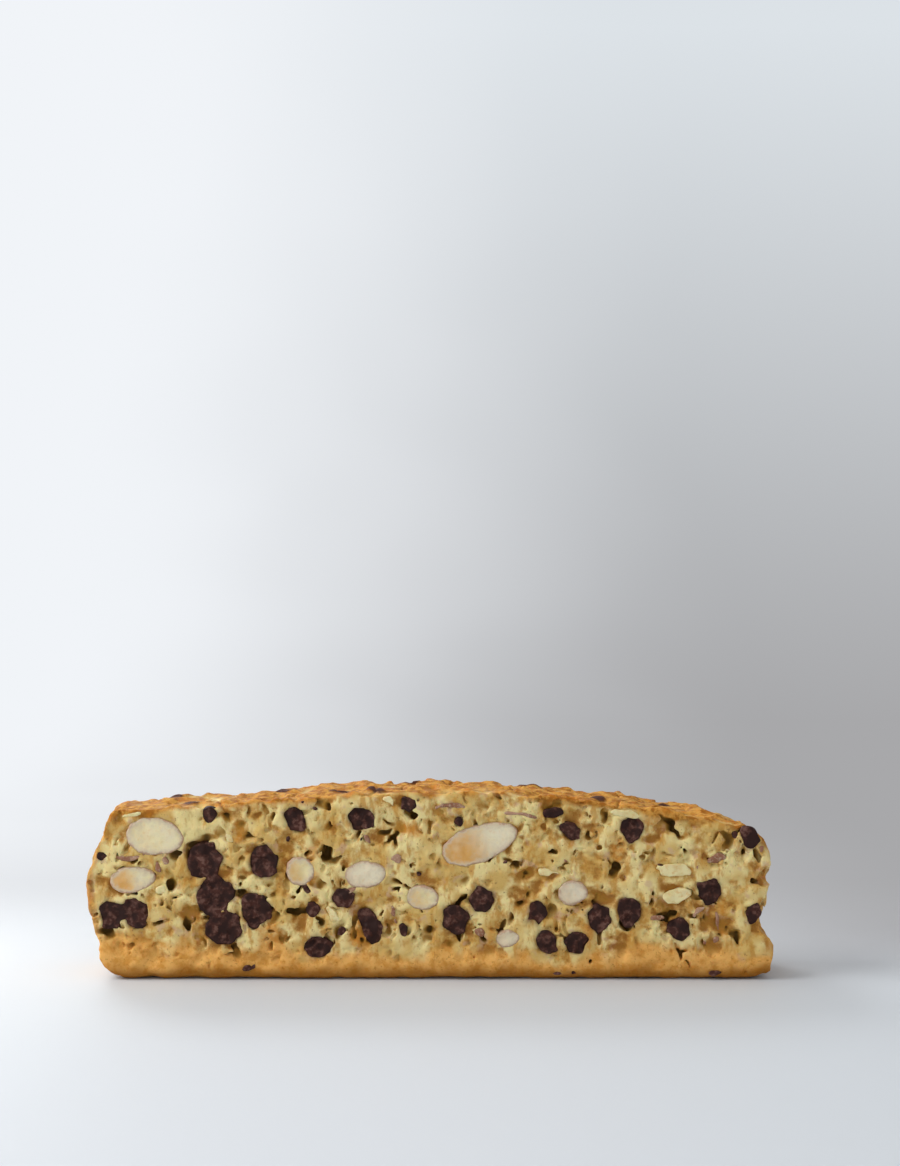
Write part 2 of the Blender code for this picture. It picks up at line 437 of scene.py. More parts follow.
def carveBubble(bubbles, grid, warp, centre, radii, turn):
    # an egg-shaped bubble, turned in the cut's plane, its outline shaken by the warp
    voxel = grid["voxel"]
    reach = max(radii) + 1.2
    first = np.maximum(((centre - reach) / voxel - grid["start"]).astype(int), 0)
    last = np.minimum(((centre + reach) / voxel - grid["start"]).astype(int) + 2, grid["size"])
    if (first >= last).any():
        return
    part = tuple(slice(a, b) for a, b in zip(first, last))
    x, y, z = gridAxes(grid)
    dx = x[part[0]] + warp[0][part] - centre[0]
    dy = y[:, part[1]] + warp[1][part] - centre[1]
    dz = z[:, :, part[2]] + warp[2][part] - centre[2]
    along = dx * math.cos(turn) + dz * math.sin(turn)
    across = dz * math.cos(turn) - dx * math.sin(turn)
    span = np.sqrt((along / radii[0]) ** 2 + (dy / radii[1]) ** 2 + (across / radii[2]) ** 2)
    bubbles[part] = np.minimum(bubbles[part], (span - 1) * min(radii))


def makeBubbles(grid, outline):
    shape = crumbShape
    rng = np.random.default_rng(shape["seed"])
    warp = [0.46 * softNoise(grid, 1.8, 60 + axis) + 0.24 * softNoise(grid, 0.85, 70 + axis)
            for axis in range(3)]
    bubbles = np.full(grid["size"], 3.0, np.float32)
    for x, z, halfWidth, halfHeight, turn, depth in frontHollows:
        centre = np.array([x, -halfThick, z])
        carveBubble(bubbles, grid, warp, centre, (halfWidth, depth, halfHeight), math.radians(turn))
    for side in (-1, 1):
        for (smallest, largest), count in shape["bubblesPerFace"].items():
            xs = rng.uniform(lowMm[0], highMm[0], count)
            zs = rng.uniform(lowMm[2], highMm[2], count)
            inside = insideAt(outline, grid, xs, zs)
            for x, z, room in zip(xs, zs, inside):
                radius = rng.uniform(smallest, largest)
                sunk = rng.uniform(-0.25, 0.8) * radius
                aspect = rng.uniform(1.0, 2.3)
                turn = rng.normal(math.radians(-60), 0.7)
                likely = min(ease(room, 0.6, shape["denseCrust"] + 1.5),
                             ease(z, 3.0, shape["denseBase"] + 3.5) + 0.03)
                if rng.uniform() > likely or room < radius * 0.5:
                    continue
                centre = np.array([x, side * (halfThick - sunk), z])
                longer = math.sqrt(aspect)
                radii = (radius * longer, radius * rng.uniform(0.8, 1.5), radius / longer)
                carveBubble(bubbles, grid, warp, centre, radii, turn)
    return bubbles


def topChips(x, y, ripple):
    # chips that show through the top crust, as lumps seen from above
    rng = np.random.default_rng(crumbShape["seed"] + 1)
    lumps = 0
    for _ in range(crumbShape["chipsOnTop"]):
        chipX = rng.uniform(lowMm[0] + 8, highMm[0] - 8)
        chipY = rng.uniform(-0.75, 0.75) * halfThick
        halfWidth, halfDepth = rng.uniform(1.4, 2.6), rng.uniform(1.2, 2.2)
        span = np.hypot((x - chipX) / halfWidth, (y - chipY) / halfDepth) + 0.14 * ripple
        lumps = np.maximum(lumps, 1 - ease(span, 0.85, 1.1))
    return lumps


def shapeCrust(grid, outline, top, base):
    # the baked outside: crags, cracks, burst bubbles, chips below the crust and the bitten right end
    shape = crumbShape
    x, y, z = gridAxes(grid)
    ends = np.clip(1 - top - base, 0, 1)
    along, above, upTo = shape["tornEnd"]
    torn = ease(x, *along) * ease(z, *above) * (1 - ease(z, *upTo))
    middling = bodyNoise(grid, "middling")
    crags = 0.62 * bodyNoise(grid, "broad") + 0.45 * middling + 0.32 * bodyNoise(grid, "fine")
    cracks = np.exp(-(bodyNoise(grid, "crackLines") / shape["crackWidth"]) ** 2)
    cracks = cracks * ease(bodyNoise(grid, "crackPlaces"), 0.0, 0.9)
    footX, footZ, halfWidth, halfHeight = shape["foot"]
    leftFoot = np.exp(-((x - footX) / halfWidth) ** 2 - ((z - footZ) / halfHeight) ** 2)
    pits = ease(bodyNoise(grid, "burstBubbles"), 1.5, 2.6)
    pits = pits * ease(bodyNoise(grid, "burstPlaces"), -0.6, 0.8) * top
    chips = topChips(x, y, middling) * top

    crust = outline + shape["crustInset"] * (1 - base)
    crust = crust - shape["footBulge"] * leftFoot
    crust = crust - shape["topCrags"] * top * crags + shape["crackDepth"] * top * cracks
    crust = crust - shape["endCrags"] * ends * crags
    crust = crust - shape["baseCrags"] * base * (middling - 1.2)
    crust = crust + shape["pitDepth"] * pits
    crust = crust - shape["chipLump"] * chips
    crust = crust + shape["endTear"] * torn * np.clip(0.3 + bodyNoise(grid, "endBites"), 0, 1.8)
    crust = np.maximum(crust, 0.02 - z)    # flat where it rests
    return crust, {"torn": torn, "crackAndPitShade": np.maximum(cracks * top, pits), "chips": chips}


def shapeCuts(grid, outline):
    # both cut faces, torn by the knife except near the crust and the base
    shape = crumbShape
    _, y, z = gridAxes(grid)
    tear = (0.75 * bodyNoise(grid, "broadTear") + 0.6 * bodyNoise(grid, "middlingTear")
            + 0.3 * bodyNoise(grid, "fineTear"))
    lost = 0.55 * ease(bodyNoise(grid, "lostCrumbs"), 1.1, 2.2)
    calm = ease(-outline, 0.5, 3.0) * ease(z, 1.0, shape["denseBase"])
    relief = shape["faceTear"] * tear + shape["tearValleys"] * ease(tear, 0.5, 2.0)
    cut = np.abs(y) - halfThick + shape["cutInset"] + relief * (0.45 + 0.55 * calm) + lost * calm
    return smoothMax(cut, np.abs(y) - halfThick + 0.05, 0.12), tear


def makeBody():
    shape = crumbShape
    grid = bodyGrid()
    outline = outlineField(grid)
    rise = crustRise(outline, grid["voxel"])
    top = ease(rise, 0.2, 0.8)
    base = ease(-rise, 0.5, 0.95)
    print("outline read")

    crust, marks = shapeCrust(grid, outline, top, base)
    cut, tear = shapeCuts(grid, outline)
    low = 1 - ease(gridAxes(grid)[2], 1.5, 5.0)
    edge = shape["edgeRound"] + (shape["baseRound"] - shape["edgeRound"]) * low
    body = smoothMax(crust, cut, edge)
    print("crust and cuts shaped")

    body = smoothMax(body, -makeBubbles(grid, outline), shape["bubbleRound"])
    print("crumb opened up")
    return grid, body, outline, {**marks, "tear": tear, "top": top, "base": base}


# nuts and chips

nutLook = {
    "triangles": 110000 // fineness**2,
    "growth": 0.15,       # how far it reaches past its CAD solid
    "fuse": 0.05,         # how readily neighbours run together
    "wobble": 0.10,       # unevenness of the outline
    "facets": 0,          # broken sides
    "cutDepth": 0.14,     # how far the nut's cut lies behind the slice's own
    "cutWave": 0.07,      # unevenness of that cut
    "round": 0.35,        # softness of the rim
}

# how toasted, and how buttery yellow, each nut is
nutTones = {
    "almond_front_01": (0.1, 0.7), "almond_front_02": (1.0, 0.8), "almond_front_03": (0.6, 1.0),
    "almond_front_04": (0.1, 0.1), "almond_front_05": (0.5, 0.8), "almond_front_06": (1.0, 0.3),
    "almond_front_07": (0.2, 0.0), "almond_front_08": (0.2, 0.2), "almond_back_01": (0.7, 0.5),
    "almond_back_02": (0.2, 0.8), "almond_back_03": (0.4, 0.2), "almond_back_04": (0.9, 0.6),
    "almond_back_05": (0.1, 0.4), "almond_back_06": (0.5, 0.9),
}

# chips that melted into their neighbours reach further out
chipSpread = {
    "chip_front_03": 0.7, "chip_front_04": 0.9, "chip_front_05": 0.8, "chip_front_06": 0.7,
    "chip_front_01": 0.2, "chip_front_02": 0.2,
}

chipLook = {
    "triangles": 110000 // fineness**2,
    "growth": 0.62,
    "fuse": 1.3,
    "wobble": 0.22,
    "facets": 6,
    "cutDepth": 0.30,
    "cutWave": 0.26,
    "round": 0.25,
}

insetVoxel = 0.2 * fineness
insetDepth = 6.2          # how far behind a cut face the nuts and chips reach
insetGap = 0.13           # how far the crumb closes over their sides


def blurred(values, steps):
    for _ in range(steps):
        for axis in range(3):
            before = np.roll(values, 1, axis)
            after = np.roll(values, -1, axis)
            values = (before + 2 * values + after) / 4
    return values


def smoothMin(a, b, width):
    return -smoothMax(-a, -b, width)


def faceGrid(side):
    far, near = halfThick - insetDepth, halfThick + 0.8
    low = [lowMm[0], min(side * far, side * near), lowMm[2]]
    high = [highMm[0], max(side * far, side * near), highMm[2]]
    return makeGrid(low, high, insetVoxel)


def insetSides(name, grid, side, look, rng):
    # one CAD nut or chip, its facets softened, carried straight out through the cut face
    low, high = (np.array(corner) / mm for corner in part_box(name))
    local = makeGrid(low - 2.4, high + 2.4, grid["voxel"])
    first = np.maximum(local["start"], grid["start"])
    last = np.minimum(local["start"] + local["size"], grid["start"] + grid["size"])
    steps = max(1, round(4 / fineness**2))
    growth = look["growth"] + chipSpread.get(name, 0)
    whole = blurred(distanceTo(name, local, 3.4), steps) - growth
    levels = (np.arange(first[1], last[1]) * grid["voxel"]) * side
    ownLevels = local["lines"][1] * side
    lastWhole = halfThick - 1.0
    source = [int(np.abs(ownLevels - min(level, lastWhole)).argmin()) for level in levels]
    spanX = slice(first[0] - local["start"][0], last[0] - local["start"][0])
    spanZ = slice(first[2] - local["start"][2], last[2] - local["start"][2])
    sides = whole[spanX][:, source][:, :, spanZ]

    middle, half = (low + high) / 2, (high - low) / 2
    x = (np.arange(first[0], last[0]) * grid["voxel"] - middle[0])[:, None, None]
    z = (np.arange(first[2], last[2]) * grid["voxel"] - middle[2])[None, None, :]
    for _ in range(look["facets"]):
        angle = rng.uniform(0, 2 * math.pi)
        reach = math.hypot(half[0] * math.cos(angle), half[2] * math.sin(angle))
        reach = reach * rng.uniform(0.64, 0.96)
        plane = x * math.cos(angle) + z * math.sin(angle) - reach - growth
        sides = smoothMax(sides, plane, 0.12)
    part = tuple(slice(a, b) for a, b in zip(first - grid["start"], last - grid["start"]))
    return part, sides


def cutInsets(sides, grid, side, look, seed):
    # the uneven sides, and those sides with the cut face put in
    ragged = 0.6 * softNoise(grid, 1.9, seed + 1) + 0.5 * softNoise(grid, 0.75, seed + 2)
    sides = sides - look["wobble"] * ragged
    y = gridAxes(grid)[1]
    waves = 0.7 * softNoise(grid, 2.2, seed + 3) + 0.7 * softNoise(grid, 0.8, seed + 4)
    cut = y * side - halfThick + look["cutDepth"] + look["cutWave"] * waves
    cut = smoothMax(cut, y * side - halfThick + 0.04, 0.1)
    return side, grid, sides, smoothMax(sides, cut, look["round"])


def makeInsets(names, side, look, seed):
    # every nut or chip of one cut face in one field
    grid = faceGrid(side)
    rng = np.random.default_rng(seed)
    sides = np.full(grid["size"], nothingNear, np.float32)
    for name in names:
        part, own = insetSides(name, grid, side, look, rng)
        sides[part] = smoothMin(sides[part], own, look["fuse"])
    return cutInsets(sides, grid, side, look, seed)


def scrapSides(grid, side, scrap, look, rng):
    # a small bit set in the cut: place along, height, half width, half height, turn, bend
    x, z, halfWidth, halfHeight, turn, bend = scrap
    reach = max(halfWidth, halfHeight) + 1.4
    spans = []
    for axis, middle in ((0, x), (2, z)):
        first = int((middle - reach) / grid["voxel"]) - grid["start"][axis]
        last = int((middle + reach) / grid["voxel"]) + 2 - grid["start"][axis]
        spans.append(slice(max(first, 0), max(min(last, grid["size"][axis]), 1)))
    part = (spans[0], slice(None), spans[1])
    gridX, gridY, gridZ = gridAxes(grid)
    dx, dz = gridX[spans[0]] - x, gridZ[:, :, spans[1]] - z
    tilt = math.radians(turn)
    along = dx * math.cos(tilt) + dz * math.sin(tilt)
    across = dz * math.cos(tilt) - dx * math.sin(tilt) + bend * along**2
    own = (np.sqrt((along / halfWidth) ** 2 + (across / halfHeight) ** 2) - 1) * min(halfWidth, halfHeight)
    for _ in range(look["facets"]):
        angle = rng.uniform(0, 2 * math.pi)
        edge = math.hypot(halfWidth * math.cos(angle), halfHeight * math.sin(angle))
        plane = along * math.cos(angle) + across * math.sin(angle) - edge * rng.uniform(0.68, 1.0)
        own = smoothMax(own, plane, 0.15)
    deepest = halfThick - max(0.8, 1.3 * min(halfWidth, halfHeight))
    return part, smoothMax(own, deepest - gridY * side, 0.3)


def makeScraps(scraps, side, look, seed):
    grid = faceGrid(side)
    rng = np.random.default_rng(seed)
    sides = np.full(grid["size"], nothingNear, np.float32)
    for scrap in scraps:
        part, own = scrapSides(grid, side, scrap, look, rng)
        sides[part] = np.minimum(sides[part], own)
    return cutInsets(sides, grid, side, look, seed)


strewnAbove = 7.5         # the bottom crust stays clear of strewn bits


def scatter(strewn, side, taken, outline, grid, seed):
    # free places on a cut face, clear of what is already set in it
    count, halfWidths, slimness, turns = strewn
    rng = np.random.default_rng(seed)
    xs = rng.uniform(lowMm[0], highMm[0], count * 4)
    zs = rng.uniform(lowMm[2] + strewnAbove, highMm[2], count * 4)
    inside = insideAt(outline, grid, xs, zs)
    clear = np.full(len(xs), farOutside)
    places = np.stack([xs, np.full(len(xs), side * (halfThick - 0.4)), zs], axis=1)
    for takenSide, insetGrid, sides, _ in taken:
        if takenSide == side:
            clear = np.minimum(clear, sample(sides, insetGrid, places))
    scraps = []
    for x, z, room, free in zip(xs, zs, inside, clear):
        halfWidth = rng.uniform(*halfWidths)
        halfHeight = halfWidth * rng.uniform(*slimness)
        turn = rng.normal(*turns)
        bend = rng.uniform(-0.12, 0.12)
        if free > halfWidth + 0.2 and room > halfHeight + 0.5 and len(scraps) < count:
            scraps.append((x, z, halfWidth, halfHeight, turn, bend))
    return scraps


def alongAxis(values, axis, place):
    base = np.clip(place.astype(int), 0, values.shape[axis] - 2)
    share = np.clip(place - base, 0, 1).astype(np.float32)
    share = share.reshape([-1 if index == axis else 1 for index in range(3)])
    return np.take(values, base, axis) * (1 - share) + np.take(values, base + 1, axis) * share


def readOnto(values, grid, target):
    # the part of another grid that this one covers, and the values there
    low = np.maximum(grid["start"] * grid["voxel"], target["start"] * target["voxel"])
    stop = (grid["start"] + grid["size"] - 1) * grid["voxel"]
    first = np.ceil(low / target["voxel"]).astype(int)
    last = np.floor(stop / target["voxel"]).astype(int) + 1
    last = np.minimum(last, target["start"] + target["size"])
    for axis in range(3):
        place = np.arange(first[axis], last[axis]) * target["voxel"] / grid["voxel"] - grid["start"][axis]
        values = alongAxis(values, axis, place)
    return tuple(slice(a, b) for a, b in zip(first - target["start"], last - target["start"])), values


def sinkInsets(body, grid, insets):
    # opens the crumb round every nut, chip and bit, right out to the cut face
    for _, insetGrid, sides, _ in insets:
        part, values = readOnto(sides, insetGrid, grid)
        body[part] = smoothMax(body[part], -values - insetGap, 0.12)
    return body


def joinedSurface(insets):
    # the surfaces of both faces' nuts, chips or bits in one
    points, quads, count = [], [], 0
    for _, grid, _, values in insets:
        newPoints, newQuads = fieldSurface(values, grid)
        points.append(newPoints)
        quads.append(newQuads + count)
        count += len(newPoints)
    return np.concatenate(points), np.concatenate(quads)


def makeNuts(names, insets, material):
    mesh = thinnedMesh("almonds", *joinedSurface(insets), nutLook["triangles"])
    places = meshPoints(mesh)
    inward = np.zeros(len(places), np.float32)
    for side, grid, sides, _ in insets:
        here = places[:, 1] * side > 0
        inward[here] = -sample(sides, grid, places[here])
    toast = np.zeros(len(places), np.float32)
    butter = np.zeros(len(places), np.float32)
    for name in names:
        low, high = (np.array(corner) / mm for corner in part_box(name))
        middle, half = (low + high) / 2, (high - low) / 2 + 0.6
        here = (np.abs(places - middle) < half).all(axis=1)
        leaning = -(places[here, 0] - middle[0]) / half[0]
        leaning = leaning - 0.35 * (places[here, 2] - middle[2]) / half[2]
        toasted, yellow = nutTones[name]
        toast[here] = toasted * ease(leaning, -0.45, 0.5)
        butter[here] = yellow
    setAttribute(mesh, "inward", inward)
    setAttribute(mesh, "toast", toast)
    setAttribute(mesh, "butter", butter)
    return addPiece("almonds", mesh, material, names)


def makeChips(names, insets, material):
    mesh = thinnedMesh("chocolateChips", *joinedSurface(insets), chipLook["triangles"])
    return addPiece("chocolateChips", mesh, material, names)


# bits of the front cut too small to be parts of their own: place along the slice, height, half width,
# half height, turn, bend
scrapLists = {
    "chocolateBits": [
        (-69.1, 26.0, 1.0, 0.9, 0, 0), (-46.5, 34.6, 1.8, 1.7, 20, 0), (-4.6, 36.9, 2.1, 1.7, -15, 0),
        (-24.6, 15.1, 1.3, 1.9, 15, 0), (5.9, 33.3, 0.9, 1.0, 0, 0), (26.0, 35.2, 2.3, 1.0, 6, 0),
        (68.3, 14.2, 1.8, 2.3, -25, 0), (67.2, 30.0, 2.6, 1.9, -38, 0), (-38.0, 2.6, 1.9, 0.7, 18, 0),
        (26.4, 1.5, 1.4, 0.5, 0, 0), (30.5, 1.6, 1.0, 0.5, 0, 0), (59.6, 1.5, 1.6, 0.5, 0, 0),
        (-5.6, 10.6, 1.0, 1.8, 25, 0), (-26.0, 19.4, 0.7, 1.5, 30, 0),
    ],
    "almondSlivers": [
        (51.3, 23.1, 3.7, 1.9, -8, 0.02), (52.0, 17.8, 3.2, 1.8, 12, -0.02),
        (41.5, 35.0, 4.6, 0.9, -6, 0.01), (-63.5, 34.6, 2.4, 0.7, 12, 0.02),
        (24.5, 22.6, 2.0, 0.8, -10, 0), (-20.6, 14.0, 0.9, 2.3, 22, 0),
    ],
    "almondSkins": [
        (3.5, 36.8, 3.6, 0.36, 8, 0.05), (19.0, 35.0, 4.2, 0.36, -8, 0.03), (47.3, 13.2, 1.8, 0.6, 12, 0.1),
        (56.7, 14.9, 1.9, 0.5, 35, 0.1), (60.0, 25.6, 2.0, 0.6, 25, 0.1), (-7.2, 25.8, 1.7, 0.6, 20, 0.1),
        (-17.0, 18.9, 2.0, 0.5, 30, 0.1), (26.4, 26.0, 2.4, 0.45, -12, 0.06),
        (-63.0, 25.6, 4.0, 0.34, 4, -0.07), (-7.6, 14.0, 0.4, 2.2, 10, 0.0),
        (60.3, 12.6, 0.35, 2.0, 6, 0.0),
    ],
}

# how many more are strewn over each face, and their half widths, slimness and turn
scrapStrewn = {
    "chocolateBits": (11, (0.5, 1.1), (0.4, 0.8), (0, 60)),
    "almondSlivers": (4, (0.7, 1.5), (0.35, 0.8), (-50, 35)),
    "almondSkins": (9, (0.7, 1.5), (0.35, 0.7), (-50, 45)),
}

scrapLooks = {
    "chocolateBits": {"facets": 4, "wobble": 0.16, "cutDepth": 0.22, "cutWave": 0.14, "round": 0.15},
    "almondSlivers": {"facets": 4, "wobble": 0.26, "cutDepth": 0.10, "cutWave": 0.12, "round": 0.08},
    "almondSkins": {"facets": 3, "wobble": 0.20, "cutDepth": 0.12, "cutWave": 0.14, "round": 0.08},
}

scrapTriangles = 80000 // fineness**2


def makeScrapKinds(insets, outline, grid):
    # the three kinds, each set clear of the nuts, the chips and the kinds before it
    kinds, taken = {}, list(insets)
    for number, (kind, listed) in enumerate(scrapLists.items()):
        kinds[kind] = []
        for side in (-1, 1):
            strewn = scatter(scrapStrewn[kind], side, taken, outline, grid, 700 + 10 * number + side)
            scraps = (listed if side < 0 else []) + strewn
            kinds[kind].append(makeScraps(scraps, side, scrapLooks[kind], 800 + 20 * number + side))
        taken += kinds[kind]
    return kinds


def addScraps(kind, insets, material):
    mesh = thinnedMesh(kind, *joinedSurface(insets), scrapTriangles)
    return addPiece(kind, mesh, material)


# finishes

crumbColours = {
    "cream": colour(230, 211, 148),
    "tan": colour(208, 174, 102),
    "gold": colour(190, 138, 58),
    "toast": colour(152, 96, 32),
    "toastedGold": colour(196, 132, 48),
    "blush": colour(202, 168, 140),
    # painted shade for the crumb's holes: golden olive, and near black deeper in
    "hollowShade": colour(166, 120, 40),
    "deepHollowShade": colour(78, 56, 14),
    "crustTop": colour(154, 96, 20),
    "crustPale": colour(200, 145, 64),
    "crustOrange": colour(184, 110, 16),
    "crustBase": colour(230, 174, 94),
    "baseBrown": colour(210, 148, 66),
    "crustDark": colour(150, 92, 10),
    "speck": colour(120, 70, 36),
    "cocoa": colour(96, 62, 46),
    "chocolate": colour(72, 36, 20),
}


def crumbMaterial():
    look = crumbColours
    material, tree, shader = newMaterial("bakedCrumb")
    where = put(tree, "TexCoord").outputs["Object"]
    slant = (0, math.radians(30), 0)
    dragged = put(tree, "Mapping", {"Vector": where, "Rotation": slant, "Scale": (1, 1, 0.4)})
    crust = reading(tree, "crust")
    hollowShade = reading(tree, "hollowShade")
    valleyShade = reading(tree, "valleyShade")

    patchy = grainNoise(tree, where, 7.0, 2.0)
    blotchy = grainNoise(tree, where, 3.2, 2.0, 0.6)
    streaky = grainNoise(tree, dragged.outputs[0], 1.7, 3.0, 0.6)
    mottled = grainNoise(tree, where, 1.9, 4.0, 0.65)
    fine = grainNoise(tree, where, 0.7, 3.0, 0.6)
    crumb = blend(tree, spread(tree, patchy, 0.42, 0.62), look["cream"], look["tan"])
    crumb = blend(tree, spread(tree, streaky, 0.50, 0.66, 0, 0.75), crumb, look["gold"])
    # painted shade: the deeper torn places of the cut turn gold and then brown, mixed with random mottling
    valleyShadeAndMottle = plus(tree, valleyShade, spread(tree, mottled, 0.3, 0.7, -0.8, 0.8))
    crumb = blend(tree, spread(tree, valleyShadeAndMottle, -0.1, 1.3, 0, 0.75), crumb, look["gold"])
    crumb = blend(tree, spread(tree, blotchy, 0.58, 0.70, 0, 0.55), crumb, look["blush"])
    crumb = blend(tree, spread(tree, valleyShadeAndMottle, 0.9, 2.2, 0, 0.85), crumb, look["toast"])
    browned = times(tree, reading(tree, "toasted"), spread(tree, mottled, 0.3, 0.6, 0.35, 0.9))
    crumb = blend(tree, browned, crumb, look["toastedGold"])
    crumb = blend(tree, spread(tree, fine, 0.62, 0.72, 0, 0.6), crumb, look["speck"])

    crustTone = blend(tree, spread(tree, mottled, 0.42, 0.58), look["crustTop"], look["crustPale"])
    crustTone = blend(tree, spread(tree, blotchy, 0.52, 0.64, 0, 0.6), crustTone, look["crustOrange"])
    baseTone = blend(tree, spread(tree, mottled, 0.42, 0.64), look["crustBase"], look["baseBrown"])
    crustTone = blend(tree, reading(tree, "base"), crustTone, baseTone)
    crustTone = blend(tree, spread(tree, fine, 0.58, 0.70, 0, 0.5), crustTone, look["crustDark"])
    # painted shade in the top crust's cracks and burst bubbles
    crustTone = blend(tree, times(tree, reading(tree, "crackAndPitShade"), 0.8), crustTone, look["crustDark"])
    body = blend(tree, spread(tree, crust, 0.1, 0.9), crumb, crustTone)
    # darker towards the very bottom, over the last few millimetres above the floor
    body = blend(tree, times(tree, reading(tree, "darkerTowardsFloor"), 0.9), body, look["crustDark"])
    # painted shade: the deeper a place lies below the cut face, the darker and more olive it is painted
    body = blend(tree, spread(tree, hollowShade, 0.0, 0.55, 0, 0.85), body, look["hollowShade"])
    body = blend(tree, spread(tree, hollowShade, 0.35, 1.0, 0, 0.95), body, look["deepHollowShade"])
    body = blend(tree, reading(tree, "cocoa"), body, look["cocoa"])
    body = blend(tree, reading(tree, "chips"), body, look["chocolate"])
    tree.links.new(body, shader.inputs["Base Color"])

    roughness = spread(tree, mottled, 0.3, 0.7, 0.58, 0.84)
    tree.links.new(roughness, shader.inputs["Roughness"])
    shader.inputs["Specular IOR Level"].default_value = 0.2
    shader.inputs["Subsurface Weight"].default_value = 0.15
    shader.inputs["Subsurface Scale"].default_value = 0.002
    pores = put(tree, "TexVoronoi", {"Vector": where, "Scale": 1 / (0.75 * mm)}, feature="SMOOTH_F1")
    normal = bump(tree, spread(tree, pores.outputs["Distance"], 0.0, 0.5), 0.16, 0.4)
    normal = bump(tree, grainNoise(tree, where, 0.35, 3.0), 0.10, 0.4, normal)
    tree.links.new(normal, shader.inputs["Normal"])
    return material


nutColours = {
    "flesh": colour(230, 220, 194),
    "butter": colour(232, 218, 164),
    "crumbly": colour(220, 202, 144),
    "toasted": colour(214, 160, 82),
    "rim": colour(206, 188, 160),
    "skin": colour(170, 130, 104),
    "skinDark": colour(138, 90, 62),
}


def nutMaterial():
    look = nutColours
    material, tree, shader = newMaterial("cutAlmond")
    where = put(tree, "TexCoord").outputs["Object"]
    inward = reading(tree, "inward")
    patchy = grainNoise(tree, where, 4.0, 2.0)
    fibres = grainNoise(tree, where, 0.8, 3.0)
    flesh = blend(tree, times(tree, reading(tree, "butter"), spread(tree, patchy, 0.3, 0.6, 0.6, 1.0)),
                  look["flesh"], look["butter"])
    flesh = blend(tree, times(tree, reading(tree, "toast"), spread(tree, patchy, 0.3, 0.6, 0.6, 1.0)),
                  flesh, look["toasted"])
    flesh = blend(tree, spread(tree, fibres, 0.5, 0.75, 0, 0.25), flesh, look["toasted"])
    ragged = plus(tree, inward, spread(tree, fibres, 0.3, 0.7, -0.2, 0.2))
    flesh = blend(tree, spread(tree, ragged, 0.3, 1.2, 0.9, 0), flesh, look["rim"])
    flesh = blend(tree, spread(tree, ragged, 0.1, 0.5, 0.7, 0), flesh, look["skin"])
    tree.links.new(flesh, shader.inputs["Base Color"])
    tree.links.new(spread(tree, fibres, 0.3, 0.7, 0.42, 0.6), shader.inputs["Roughness"])
    shader.inputs["Subsurface Weight"].default_value = 0.18
    shader.inputs["Subsurface Scale"].default_value = 0.002
    tree.links.new(bump(tree, fibres, 0.08, 0.35), shader.inputs["Normal"])
    return material


def sliverMaterial():
    look = nutColours
    material, tree, shader = newMaterial("almondSliver")
    where = put(tree, "TexCoord").outputs["Object"]
    patchy = grainNoise(tree, where, 3.0, 2.0)
    fibres = grainNoise(tree, where, 0.7, 3.0)
    flesh = blend(tree, spread(tree, patchy, 0.4, 0.6), look["butter"], look["crumbly"])
    flesh = blend(tree, spread(tree, fibres, 0.5, 0.7, 0, 0.5), flesh, look["toasted"])
    tree.links.new(flesh, shader.inputs["Base Color"])
    shader.inputs["Roughness"].default_value = 0.55
    shader.inputs["Subsurface Weight"].default_value = 0.15
    shader.inputs["Subsurface Scale"].default_value = 0.002
    tree.links.new(bump(tree, fibres, 0.08, 0.4), shader.inputs["Normal"])
    return material


def skinMaterial():
    look = nutColours
    material, tree, shader = newMaterial("almondSkin")
    where = put(tree, "TexCoord").outputs["Object"]
    patchy = grainNoise(tree, where, 4.0, 2.0)
    wrinkles = grainNoise(tree, where, 0.5, 3.0)
    tone = blend(tree, spread(tree, patchy, 0.4, 0.6), look["skin"], look["skinDark"])
    tone = blend(tree, spread(tree, wrinkles, 0.5, 0.7, 0, 0.5), tone, look["rim"])
    tree.links.new(tone, shader.inputs["Base Color"])
    shader.inputs["Roughness"].default_value = 0.6
    tree.links.new(bump(tree, wrinkles, 0.08, 0.4), shader.inputs["Normal"])
    return material


chipColours = {
    "dark": colour(42, 17, 11),
    "middle": colour(70, 36, 27),
    "scraped": colour(108, 76, 66),
}


def chipMaterial():
    look = chipColours
    material, tree, shader = newMaterial("cutChocolate")
    where = put(tree, "TexCoord").outputs["Object"]
    patchy = grainNoise(tree, where, 2.2, 3.0)
    fine = grainNoise(tree, where, 0.8, 2.0, 0.5)
    tone = blend(tree, spread(tree, patchy, 0.42, 0.62), look["dark"], look["middle"])
    scraped = times(tree, spread(tree, patchy, 0.45, 0.65), spread(tree, fine, 0.42, 0.62, 0, 0.9))
    tone = blend(tree, scraped, tone, look["scraped"])
    tree.links.new(tone, shader.inputs["Base Color"])
    tree.links.new(spread(tree, patchy, 0.3, 0.7, 0.55, 0.75), shader.inputs["Roughness"])
    shader.inputs["Specular IOR Level"].default_value = 0.22
    normal = bump(tree, fine, 0.14, 0.5)
    normal = bump(tree, patchy, 0.25, 0.4, normal)
    tree.links.new(normal, shader.inputs["Normal"])
    return material


# putting it together

def onFace(names, side):
    return [name for name in names if (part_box(name)[0][1] > 0) == (side > 0)]


def distanceToChips(grid, chipInsets, places):
    distance = np.full(grid["size"], nothingNear, np.float32)
    for _, insetGrid, sides, _ in chipInsets:
        part, values = readOnto(sides, insetGrid, grid)
        distance[part] = values
    return sample(distance, grid, places)


